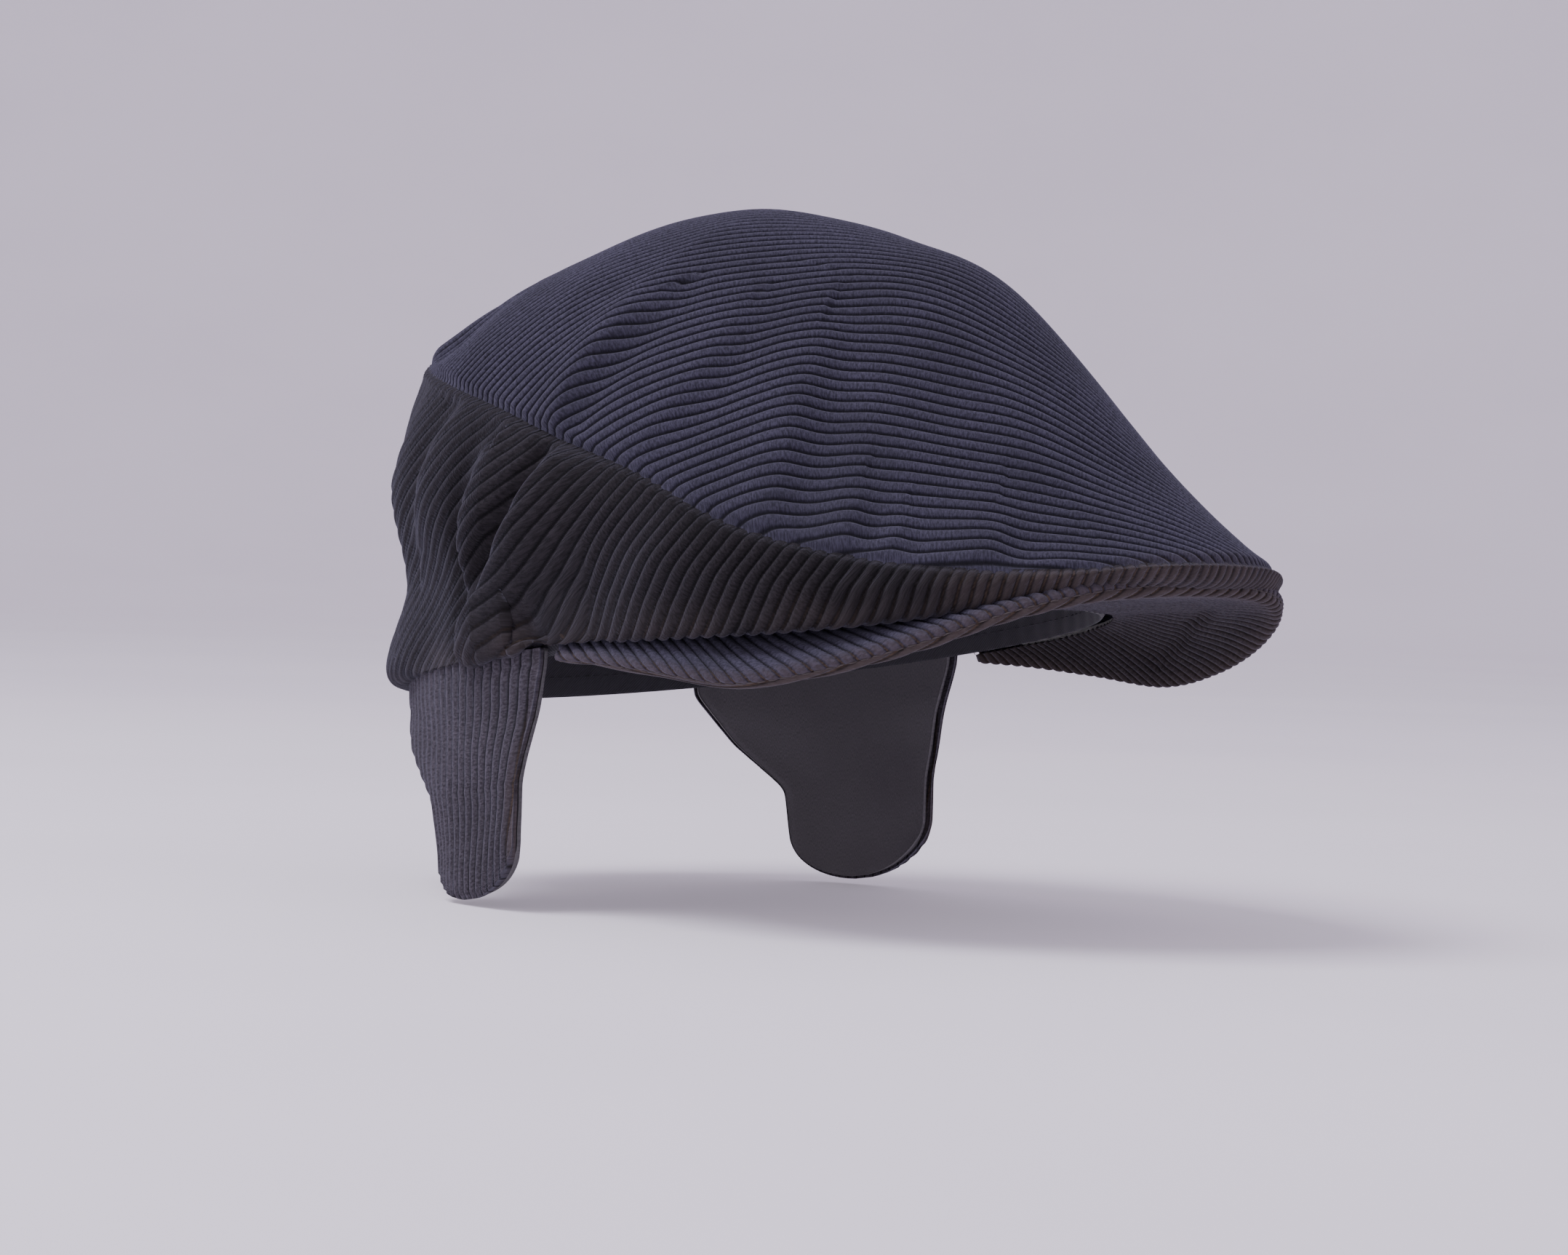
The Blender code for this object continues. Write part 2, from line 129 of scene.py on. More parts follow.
def hermite(knots, values, t):
    """Smooth curve through the values, with three-point slopes."""
    knots, values, t = np.asarray(knots, float), np.asarray(values, float), np.asarray(t, float)
    step = np.diff(knots)[:, None]
    rise = np.diff(values, axis=0) / step
    slope = np.empty_like(values)
    slope[1:-1] = (rise[:-1] * step[1:] + rise[1:] * step[:-1]) / (step[1:] + step[:-1])
    slope[0], slope[-1] = rise[0], rise[-1]
    i = np.clip(np.searchsorted(knots, t, side="right") - 1, 0, len(knots) - 2)
    h = step[i]
    u = ((t - knots[i])[:, None]) / h
    return (
        values[i] * (1 + 2 * u) * (1 - u) ** 2 + slope[i] * h * u * (1 - u) ** 2
        + values[i + 1] * u * u * (3 - 2 * u) + slope[i + 1] * h * u * u * (u - 1)
    )


def arc_of(points):
    """Distance along a line of points."""
    return np.r_[0, np.cumsum(np.linalg.norm(np.diff(points, axis=0), axis=1))]


def half_outline(points, count):
    """Evenly spaced points along a half outline whose two ends lie on the middle plane."""
    points = np.array(points, float)
    mirrored = [-1, 1, 1]
    whole = np.vstack([points[2:0:-1] * mirrored, points, points[-2:-4:-1] * mirrored])
    knots = arc_of(whole)
    return hermite(knots, whole, np.linspace(knots[2], knots[-3], count))


def side_line(points, count):
    """Evenly spaced points along an open line."""
    points = np.array(points, float)
    knots = arc_of(points)
    return hermite(knots, points, np.linspace(0, knots[-1], count))


def smooth(low, high, value):
    t = np.clip((value - low) / (high - low), 0, 1)
    return t * t * (3 - 2 * t)


def oval(angle, offset):
    return (HEAD_HALF_WIDTH + offset) * np.sin(angle), (HEAD_HALF_LENGTH + offset) * np.cos(angle)


def hem_point(angle, offset, rise=0.0):
    x, f = oval(angle, offset)
    return np.stack(np.broadcast_arrays(x, f, HEM_SLOPE * f + rise), -1)


def head_dome(angle, climb, offset):
    """The rounded dome over the head that the lining follows; climb runs from 0 at the hem."""
    x, f = oval(angle, offset)
    out = np.maximum(np.cos(climb), 0) ** LINING_FULLNESS
    up = np.sin(climb) ** LINING_FULLNESS
    base = HEM_SLOPE * f
    return np.stack(
        [x * out, f * out + LINING_CENTRE_F * (1 - out), base + (LINING_TOP_Z + offset - base) * up], -1
    )


SEAM_DENSE = half_outline(SEAM_LINE, 1200)
SPINE_DENSE_F = np.linspace(SPINE_F[0], SPINE_F[-1], 600)
SPINE_DENSE = hermite(SPINE_F, np.array(SPINE_Z, float)[:, None], SPINE_DENSE_F)[:, 0]


def dome_height(x, f):
    """Height of the top panel over a point of its plan."""
    width = np.interp(f, SEAM_DENSE[:, 1], SEAM_DENSE[:, 0])
    edge = np.interp(f, SEAM_DENSE[:, 1], SEAM_DENSE[:, 2])
    ridge = np.interp(f, SPINE_DENSE_F, SPINE_DENSE)
    share = np.clip(np.abs(x) / np.maximum(width, 1e-6), 0, 1)
    return edge + (ridge - edge) * (1 - share**2) ** np.interp(f, DOME_F, DOME_POWER)


def normals(grid, away_from):
    """Unit normals of a grid of points, turned together so that they mostly point away from a place."""
    n = np.cross(np.gradient(grid, axis=0), np.gradient(grid, axis=1))
    n /= np.maximum(np.linalg.norm(n, axis=2, keepdims=True), 1e-9)
    return n * np.sign(np.sum(n * (grid - np.array(away_from, float))))


# ---- relief -----------------------------------------------------------------------------------
def ripple(a, b, scale, seed):
    """Smooth, repeatable unevenness between about -1 and 1 over a pair of coordinates."""
    local = np.random.default_rng(seed)
    total = np.zeros(np.broadcast(a, b).shape)
    for _ in range(7):
        angle, phase = local.uniform(0, 2 * np.pi, 2)
        k = 2 * np.pi / (scale * local.uniform(0.7, 1.8))
        total += np.sin(k * (np.cos(angle) * a + np.sin(angle) * b) + phase)
    return total / 3.5


def wale(phase):
    """Cross-section of one rib: a broad rounded top between narrow grooves, 0 in the groove."""
    return np.maximum(np.sin(np.pi * (phase % 1.0)), 0) ** 0.62


def crease(a, b, line, height, steep, gentle):
    """A fold that runs along a line of the cloth: sharp on its left side, easing off on its right."""
    line = np.array(line, float)
    nearest = np.full(a.shape, 1e9)
    result = np.zeros(a.shape)
    knots = arc_of(line) / arc_of(line)[-1]
    for i in range(len(line) - 1):
        p, q = line[i], line[i + 1]
        d = q - p
        t = np.clip(((a - p[0]) * d[0] + (b - p[1]) * d[1]) / (d @ d), 0, 1)
        across_a, across_b = a - (p[0] + t * d[0]), b - (p[1] + t * d[1])
        off = np.hypot(across_a, across_b)
        signed = off * np.where(d[0] * across_b - d[1] * across_a > 0, 1, -1)
        along = knots[i] + t * (knots[i + 1] - knots[i])
        width = np.where(signed > 0, steep, gentle)
        shape = np.exp(-(signed / width) ** 2) - 0.55 * np.exp(-((signed - 2.1 * steep) / (1.3 * steep)) ** 2)
        taper = np.sin(np.pi * np.clip(0.12 + 0.76 * along, 0, 1)) ** 0.8
        closer = off < nearest
        result = np.where(closer, shape * taper, result)
        nearest = np.minimum(nearest, off)
    return height * result


# ---- meshes -----------------------------------------------------------------------------------
def grid_faces(rows, columns, first=0):
    i, k = np.meshgrid(np.arange(rows - 1), np.arange(columns - 1), indexing="ij")
    corner = first + i * columns + k
    return np.stack([corner, corner + columns, corner + columns + 1, corner + 1], -1).reshape(-1, 4)


def add_mesh(name, points, faces, material, side=1, weave=None, wear=None):
    """A smooth-shaded mesh; weave is a pair of UV numbers per point, wear a number from 0 to 1."""
    points = points.reshape(-1, 3) * np.array([side, -1, 1]) * MM
    faces = np.array(faces)
    if side > 0:
        faces = faces[:, ::-1]
    mesh = bpy.data.meshes.new(name)
    mesh.vertices.add(len(points))
    mesh.vertices.foreach_set("co", points.astype(np.float32).ravel())
    mesh.loops.add(faces.size)
    mesh.loops.foreach_set("vertex_index", faces.astype(np.int32).ravel())
    mesh.polygons.add(len(faces))
    mesh.polygons.foreach_set("loop_start", np.arange(0, faces.size, faces.shape[1], dtype=np.int32))
    mesh.update(calc_edges=True)
    mesh.validate()
    if weave is not None:
        layer = mesh.uv_layers.new(name="weave")
        order = np.zeros(len(mesh.loops), np.int32)
        mesh.loops.foreach_get("vertex_index", order)
        layer.data.foreach_set("uv", weave.reshape(-1, 2)[order].astype(np.float32).ravel())
    values = np.zeros(len(points)) if wear is None else wear.ravel()
    mesh.attributes.new("wear", "FLOAT", "POINT").data.foreach_set("value", values.astype(np.float32))
    mesh.shade_smooth()
    mesh.materials.append(material)
    obj = bpy.data.objects.new(name, mesh)
    bpy.context.scene.collection.objects.link(obj)
    return obj


def tube(path, radius, sides=6):
    """Points and faces of a closed-ended tube along a path."""
    path = np.array(path, float)
    along = np.gradient(path, axis=0)
    along /= np.linalg.norm(along, axis=1, keepdims=True)
    helper = np.array([0.31, 0.17, 0.93])
    u = np.cross(along, helper)
    u /= np.linalg.norm(u, axis=1, keepdims=True)
    v = np.cross(along, u)
    turn = np.linspace(0, 2 * np.pi, sides, endpoint=False)
    size = np.full(len(path), radius)
    size[[0, -1]] *= 0.45
    ring = np.cos(turn)[None, :, None] * u[:, None] + np.sin(turn)[None, :, None] * v[:, None]
    points = (path[:, None] + ring * size[:, None, None]).reshape(-1, 3)
    faces = []
    for i in range(len(path) - 1):
        for k in range(sides):
            n = (k + 1) % sides
            faces.append((i * sides + k, i * sides + n, (i + 1) * sides + n, (i + 1) * sides + k))
    for start in (0, (len(path) - 1) * sides):
        faces.append(tuple(start + k for k in (0, 1, 2, 3)))
        faces.append(tuple(start + k for k in (0, 3, 4, 5)))
    return points, np.array(faces)


def sheet_area(grid):
    """Area of the surface through a grid of points."""
    cross = np.cross(np.diff(grid, axis=0)[:, :-1], np.diff(grid, axis=1)[:-1])
    return float(np.linalg.norm(cross, axis=2).sum())


def add_tubes(name, paths, radius, material, side=1):
    """Several short tubes as one mesh, such as a row of stitches."""
    points, faces, first = [], [], 0
    for path in paths:
        p, f = tube(path, radius)
        points.append(p)
        faces.append(f + first)
        first += len(p)
    return add_mesh(name, np.vstack(points), np.vstack(faces), material, side)


# ---- materials --------------------------------------------------------------------------------
def new_material(name):
    material = bpy.data.materials.new(name)
    material.use_nodes = True
    return material, material.node_tree, material.node_tree.nodes["Principled BSDF"]


def node(tree, kind, **settings):
    made = tree.nodes.new(kind)
    for key, value in settings.items():
        setattr(made, key, value)
    return made


def maths(tree, operation, a, b=None, c=None):
    """A Math node; each input is a number or an output socket."""
    made = node(tree, "ShaderNodeMath", operation=operation)
    for socket, value in zip(made.inputs, (a, b, c)):
        if isinstance(value, (int, float)):
            socket.default_value = value
        elif value is not None:
            tree.links.new(value, socket)
    return made.outputs[0]


def ramp(tree, value, low, high, to_low=0.0, to_high=1.0):
    made = node(tree, "ShaderNodeMapRange", interpolation_type="SMOOTHSTEP")
    tree.links.new(value, made.inputs["Value"])
    for name, number in (("From Min", low), ("From Max", high), ("To Min", to_low), ("To Max", to_high)):
        made.inputs[name].default_value = number
    return made.outputs["Result"]


def blend_colour(tree, factor, a, b):
    made = node(tree, "ShaderNodeMix", data_type="RGBA")
    for socket, value in ((made.inputs[0], factor), (made.inputs[6], a), (made.inputs[7], b)):
        if isinstance(value, tuple):
            socket.default_value = (*value, 1)
        elif isinstance(value, float):
            socket.default_value = value
        else:
            tree.links.new(value, socket)
    return made.outputs[2]


def noise(tree, vector, scale, detail=3.0, roughness=0.55, distortion=0.0):
    made = node(tree, "ShaderNodeTexNoise")
    made.inputs["Scale"].default_value = scale
    made.inputs["Detail"].default_value = detail
    made.inputs["Roughness"].default_value = roughness
    made.inputs["Distortion"].default_value = distortion
    tree.links.new(vector, made.inputs["Vector"])
    return made.outputs["Fac"]


def vector(tree, x, y, z=0.0):
    made = node(tree, "ShaderNodeCombineXYZ")
    for socket, value in zip(made.inputs, (x, y, z)):
        if isinstance(value, (int, float)):
            socket.default_value = value
        else:
            tree.links.new(value, socket)
    return made.outputs[0]


def weave_of(tree):
    """The two weave coordinates, and the place on the object."""
    uv = node(tree, "ShaderNodeUVMap", uv_map="weave")
    split = node(tree, "ShaderNodeSeparateXYZ")
    tree.links.new(uv.outputs[0], split.inputs[0])
    place = node(tree, "ShaderNodeTexCoord")
    return split.outputs[0], split.outputs[1], place.outputs["Object"]


def bumped(tree, shader, height, distance, strength):
    made = node(tree, "ShaderNodeBump")
    made.inputs["Distance"].default_value = distance
    made.inputs["Strength"].default_value = strength
    tree.links.new(height, made.inputs["Height"])
    tree.links.new(made.outputs[0], shader.inputs["Normal"])


def corduroy(name, pitch, pile, deep, tan=(0.075, 0.052, 0.038)):
    """Cotton pile in ribs: soft sheen on the crests, painted shade darkening the grooves, brown ground
    showing where it is worn.
    """
    material, tree, shader = new_material(name)
    count, along, place = weave_of(tree)
    across = maths(tree, "MULTIPLY", count, pitch)
    from_crest = maths(tree, "ABSOLUTE", maths(tree, "SUBTRACT", maths(tree, "FRACT", count), 0.5))
    groove = ramp(tree, from_crest, 0.3, 0.48)
    tufts = noise(tree, vector(tree, maths(tree, "MULTIPLY", across, 0.55), along), 1.55, 3.0, 0.6)
    fibres = noise(tree, vector(tree, across, along), 4.5, 2.0, 0.6)
    patches = noise(tree, place, 38.0, 3.0)
    light = tuple(1.55 * c for c in pile)
    shade = tuple(0.62 * c for c in pile)
    colour = blend_colour(tree, ramp(tree, tufts, 0.33, 0.68), shade, light)
    pale, dim = tuple(2.4 * c for c in pile), tuple(1.25 * c for c in deep)
    colour = blend_colour(tree, ramp(tree, fibres, 0.58, 0.8, 0.0, 0.35), colour, pale)
    colour = blend_colour(tree, ramp(tree, patches, 0.35, 0.7, 0.0, 0.3), colour, dim)
    # painted shade: the grooves between the wales are darkened in the base colour, standing in for the shade
    # in the recesses
    colour = blend_colour(tree, maths(tree, "MULTIPLY", groove, 0.93), colour, tuple(0.35 * c for c in deep))
    wear = node(tree, "ShaderNodeAttribute", attribute_name="wear")
    thin = maths(tree, "MULTIPLY", wear.outputs["Fac"], ramp(tree, from_crest, 0.36, 0.47))
    thin = maths(tree, "MULTIPLY", thin, ramp(tree, tufts, 0.3, 0.6, 0.35, 1.0))
    colour = blend_colour(tree, thin, colour, tan)
    rubbed = maths(tree, "MULTIPLY", wear.outputs["Fac"], ramp(tree, from_crest, 0.46, 0.2, 0.0, 0.55))
    colour = blend_colour(tree, rubbed, colour, (0.082, 0.064, 0.060))
    tree.links.new(colour, shader.inputs["Base Color"])
    height = maths(tree, "ADD", maths(tree, "MULTIPLY", tufts, 0.75), maths(tree, "MULTIPLY", fibres, 0.35))
    height = maths(tree, "SUBTRACT", height, maths(tree, "MULTIPLY", groove, 0.8))
    bumped(tree, shader, height, 0.00045, 0.9)
    shader.inputs["Roughness"].default_value = 0.95
    shader.inputs["Specular IOR Level"].default_value = 0.15
    shader.inputs["Sheen Weight"].default_value = 0.16
    shader.inputs["Sheen Roughness"].default_value = 0.42
    shader.inputs["Sheen Tint"].default_value = (0.72, 0.72, 0.95, 1)
    return material


def satin(name, colour, roughness=0.38):
    """Closely woven lining, with fine threads both ways and a soft gleam."""
    material, tree, shader = new_material(name)
    across, along, place = weave_of(tree)
    fine_across, fine_along = maths(tree, "MULTIPLY", across, 9.0), maths(tree, "MULTIPLY", along, 1.4)
    threads = noise(tree, vector(tree, fine_across, fine_along), 1.0, 2.0)
    clouds = noise(tree, place, 30.0, 3.0)
    dark, light = tuple(0.72 * c for c in colour), tuple(1.3 * c for c in colour)
    mixed = blend_colour(tree, ramp(tree, threads, 0.35, 0.65), dark, light)
    mixed = blend_colour(tree, ramp(tree, clouds, 0.3, 0.75, 0.0, 0.4), mixed, tuple(0.7 * c for c in colour))
    tree.links.new(mixed, shader.inputs["Base Color"])
    rough = ramp(tree, threads, 0.3, 0.7, roughness - 0.06, roughness + 0.08)
    tree.links.new(rough, shader.inputs["Roughness"])
    bumped(tree, shader, threads, 0.00008, 0.6)
    shader.inputs["Sheen Weight"].default_value = 0.1
    return material


def twill(name, colour):
    """Sweatband cloth: fine diagonal ribs."""
    material, tree, shader = new_material(name)
    across, along, place = weave_of(tree)
    slant = maths(tree, "ADD", across, along)
    ribs = maths(tree, "SINE", maths(tree, "MULTIPLY", slant, 2 * math.pi / 0.9))
    grain = noise(tree, vector(tree, across, along), 3.2, 3.0)
    clouds = noise(tree, place, 45.0, 3.0)
    dark, light, pale = (tuple(share * c for c in colour) for share in (0.6, 1.3, 1.6))
    mixed = blend_colour(tree, ramp(tree, ribs, -0.9, 0.9), dark, light)
    mixed = blend_colour(tree, ramp(tree, clouds, 0.35, 0.75, 0.0, 0.35), mixed, pale)
    tree.links.new(mixed, shader.inputs["Base Color"])
    bumped(tree, shader, maths(tree, "ADD", maths(tree, "MULTIPLY", ribs, 0.5), grain), 0.0001, 0.7)
    shader.inputs["Roughness"].default_value = 0.85
    shader.inputs["Sheen Weight"].default_value = 0.15
    return material


def plain(name, colour, roughness, scale=400.0, distance=0.00005):
    """Thread, moulded board or floor: one colour broken up by fine grain."""
    material, tree, shader = new_material(name)
    place = node(tree, "ShaderNodeTexCoord").outputs["Object"]
    grain = noise(tree, place, scale, 3.0)
    dark, light = tuple(0.85 * c for c in colour), tuple(1.12 * c for c in colour)
    mixed = blend_colour(tree, ramp(tree, grain, 0.3, 0.7), dark, light)
    tree.links.new(mixed, shader.inputs["Base Color"])
    bumped(tree, shader, grain, distance, 0.4)
    shader.inputs["Roughness"].default_value = roughness
    return material


PILE, DEEP = (0.033, 0.031, 0.048), (0.011, 0.0105, 0.015)
cloth_top = corduroy("corduroy_top", TOP_PITCH, PILE, DEEP)
# painted shade: the side panels get a much darker copy of the pile, standing in for the sides turned away
# from the light from above
cloth_side = corduroy("corduroy_side", SIDE_PITCH, (0.0130, 0.0114, 0.0128), (0.0046, 0.0041, 0.0045))
cloth_peak = corduroy("corduroy_peak", PEAK_PITCH, PILE, DEEP)
# painted shade: the peak's under cover gets a darker, warmer copy of the pile, standing in for the shade
# under the peak
cloth_under = corduroy("corduroy_under", UNDER_PITCH, (0.026, 0.0215, 0.0205), (0.009, 0.0075, 0.007))
# painted light: the ear flaps get a lighter copy of the pile, standing in for the light they catch
cloth_flap = corduroy("corduroy_flap", FLAP_PITCH, (0.046, 0.041, 0.05), (0.017, 0.0155, 0.018))
lining_cloth = satin("satin_lining", (0.03, 0.03, 0.038))
flap_cloth = satin("flap_lining_cloth", (0.09, 0.085, 0.09), 0.85)
band_cloth = twill("sweatband_twill", (0.028, 0.027, 0.033))
thread_dark = plain("thread_dark", (0.03, 0.028, 0.036), 0.7)
thread_brown = plain("thread_brown", (0.05, 0.04, 0.038), 0.8)
board_plastic = plain("peak_board_plastic", (0.6, 0.6, 0.57), 0.45)


# ---- crown: top panel -------------------------------------------------------------------------
def top_cloth_table(stations=900, steps=241):
    """Over the plan: wales counted across the bias-cut cloth, and the distance along them."""
    f = np.linspace(SPINE_F[0] + 0.001, SPINE_F[-1] - 0.001, stations)
    share = np.linspace(-1, 1, steps)
    x = share * np.interp(f, SEAM_DENSE[:, 1], SEAM_DENSE[:, 0])[:, None]
    z = dome_height(x, f[:, None] + 0 * x)
    sideways = np.zeros_like(x)
    sideways[:, 1:] = np.cumsum(np.hypot(np.diff(x, axis=1), np.diff(z, axis=1)), axis=1)
    sideways -= sideways[:, steps // 2, None]
    plan_x = np.linspace(-92, 92, 185)
    ridge = dome_height(plan_x[None, :] + 0 * f[:, None], f[:, None] + 0 * plan_x[None, :])
    forward = np.zeros_like(ridge)
    forward[1:] = np.cumsum(np.hypot(np.diff(f)[:, None], np.diff(ridge, axis=0)), axis=0)
    forward -= forward[np.argmin(np.abs(f - SEAM_CENTRE_F))]
    forward = np.stack([np.interp(x[i], plan_x, forward[i]) for i in range(stations)])
    bias = math.radians(TOP_BIAS_DEG)
    count = (sideways * math.cos(bias) - forward * math.sin(bias)) / TOP_PITCH
    along = sideways * math.sin(bias) + forward * math.cos(bias)
    return f, x, count, along


def top_wale_lines():
    """Plan points of the top panel on a grid that follows its wales from rim to rim."""
    f, x, count, along = top_cloth_table()
    left, right = count[:, -1], count[:, 0]
    first, last = int(np.argmax(left)), int(np.argmin(right))
    starts = np.r_[left[first::-1], right[: last + 1]], np.r_[f[first::-1], f[: last + 1]]
    stops = np.r_[left[first:], right[:last - 1:-1]], np.r_[f[first:], f[:last - 1:-1]]
    inner = np.arange(math.ceil(right[last]), left[first], 1 / COLUMNS_PER_WALE)
    phase = np.unique(np.r_[inner, right[last] + 0.02, left[first] - 0.02])
    from_f, to_f = (
        np.interp(phase, np.minimum.accumulate(c)[::-1], at[::-1]) for c, at in (starts, stops)
    )
    rows = np.linspace(0, 1, 150)
    rows = rows - 0.085 * np.sin(2 * np.pi * rows)
    grid_f = from_f[:, None] + (to_f - from_f)[:, None] * rows
    x_at = np.stack([np.interp(phase, count[i], x[i]) for i in range(len(f))])
    along_at = np.stack([np.interp(phase, count[i], along[i]) for i in range(len(f))])
    place = np.clip((grid_f - f[0]) / (f[1] - f[0]), 0, len(f) - 1.001)
    low = place.astype(int)
    part = place - low
    column = np.arange(len(phase))[:, None]
    grid_x, grid_along = (
        table[low, column] * (1 - part) + table[low + 1, column] * part for table in (x_at, along_at)
    )
    return phase, grid_x, grid_f, grid_along


TOP_CREASES = [
    # line over the plan (x towards the left ear, forward), height, steep side, gentle side
    ([(-90, 3), (-80, 8), (-62, 16)], 3.0, 3.6, 9.0),
    ([(-86, 34), (-72, 40), (-56, 40)], 1.6, 4.0, 8.0),
    ([(-84, 76), (-72, 71), (-50, 62)], 2.6, 5.0, 11.0),
    ([(-80, 97), (-66, 92)], 1.8, 3.4, 7.0),
    ([(-75, 108), (-64, 104)], 1.3, 3.0, 6.0),
    ([(-60, 128), (-46, 120)], 1.8, 4.6, 9.0),
    ([(-30, 60), (-22, 96), (-26, 118)], 1.3, 8.0, 13.0),
    ([(-58, -80), (-44, -62)], 1.8, 4.5, 10.0),
    ([(-26, -98), (-22, -76)], 1.4, 4.0, 9.0),
    ([(88, -8), (74, 2)], 2.4, 4.0, 9.0),
    ([(88, 52), (66, 56), (48, 52)], 2.2, 5.0, 10.0),
    ([(80, 98), (64, 92)], 1.5, 4.0, 8.0),
    ([(60, -76), (44, -60)], 1.8, 4.5, 10.0),
    ([(18, -99), (14, -80)], 1.3, 4.0, 8.0),
]


def crown_top_panel():
    phase, x, f, along = top_wale_lines()
    z = dome_height(x, f)
    h = 0.8
    slope_x = (dome_height(x + h, f) - dome_height(x - h, f)) / (2 * h)
    slope_f = (dome_height(x, f + h) - dome_height(x, f - h)) / (2 * h)
    normal = np.stack([-slope_x, -slope_f, np.ones_like(x)], -1)
    normal /= np.linalg.norm(normal, axis=2, keepdims=True)
    rim = np.vstack([SEAM_DENSE[::3], SEAM_DENSE[::3] * [-1, 1, 1]])
    points = np.stack([x, f, z], -1)
    flat = points.reshape(-1, 3)
    from_rim = np.empty(len(flat))
    for i in range(0, len(flat), 4000):
        gap = flat[i:i + 4000, None] - rim[None]
        from_rim[i:i + 4000] = np.sqrt((gap**2).sum(-1).min(1))
    from_rim = from_rim.reshape(x.shape)
    phase = phase[:, None] + 0 * f
    ends = smooth(0, 2.6, from_rim)
    lift = WALE_RISE * TOP_PITCH * (wale(phase) - 0.55) * (0.2 + 0.8 * ends)
    lift -= 1.8 * np.exp(-((from_rim / 1.6) ** 2))
    lift += 0.5 * ripple(x, f, 46, 3) * smooth(2, 14, from_rim)
    for line, height, steep, gentle in TOP_CREASES:
        lift += crease(x, f, line, height, steep, gentle) * smooth(0, 6, from_rim)
    area = sheet_area(points)
    points = points + normal * lift[..., None]
    weave = np.stack([phase, along], -1)
    wear = 0.35 * smooth(146, 157, f + 0.035 * np.abs(x)) * smooth(6, 0.5, from_rim)
    piece = add_mesh("crown_top_cloth", points, grid_faces(*f.shape), cloth_top, 1, weave, wear)
    bias = math.radians(TOP_BIAS_DEG)
    sideways = phase * TOP_PITCH * math.cos(bias) + along * math.sin(bias)
    forward = along * math.cos(bias) - phase * TOP_PITCH * math.sin(bias)
    return piece, area, (float(np.ptp(sideways)), float(np.ptp(forward)))


# ---- crown: side panels -----------------------------------------------------------------------
SIDE_CREASES = [
    # line over the panel (distance from back centre, distance down from the seam), height, steep, gentle
    ([(118, 2), (108, 22), (98, 46)], 3.4, 4.5, 12.0),
    ([(136, 14), (129, 40), (129, 66)], 4.0, 3.4, 9.0),
    ([(168, -1), (155, 26), (143, 44), (131, 62)], 6.0, 3.0, 14.0),
    ([(214, 10), (196, 36)], 1.2, 6.0, 12.0),
    ([(88, 6), (78, 34), (80, 60)], 2.0, 5.0, 12.0),
    ([(40, 10), (46, 52)], 1.6, 6.0, 13.0),
]
SIDE_CREASES_LEFT = [
    ([(152, 0), (140, 28), (126, 56)], 3.8, 4.0, 13.0),
    ([(112, 10), (106, 48)], 2.8, 5.0, 12.0),
    ([(188, 0), (178, 30)], 2.0, 5.0, 12.0),
    ([(80, 4), (70, 40)], 2.2, 5.0, 12.0),
    ([(34, 12), (40, 54)], 1.6, 6.0, 13.0),
]


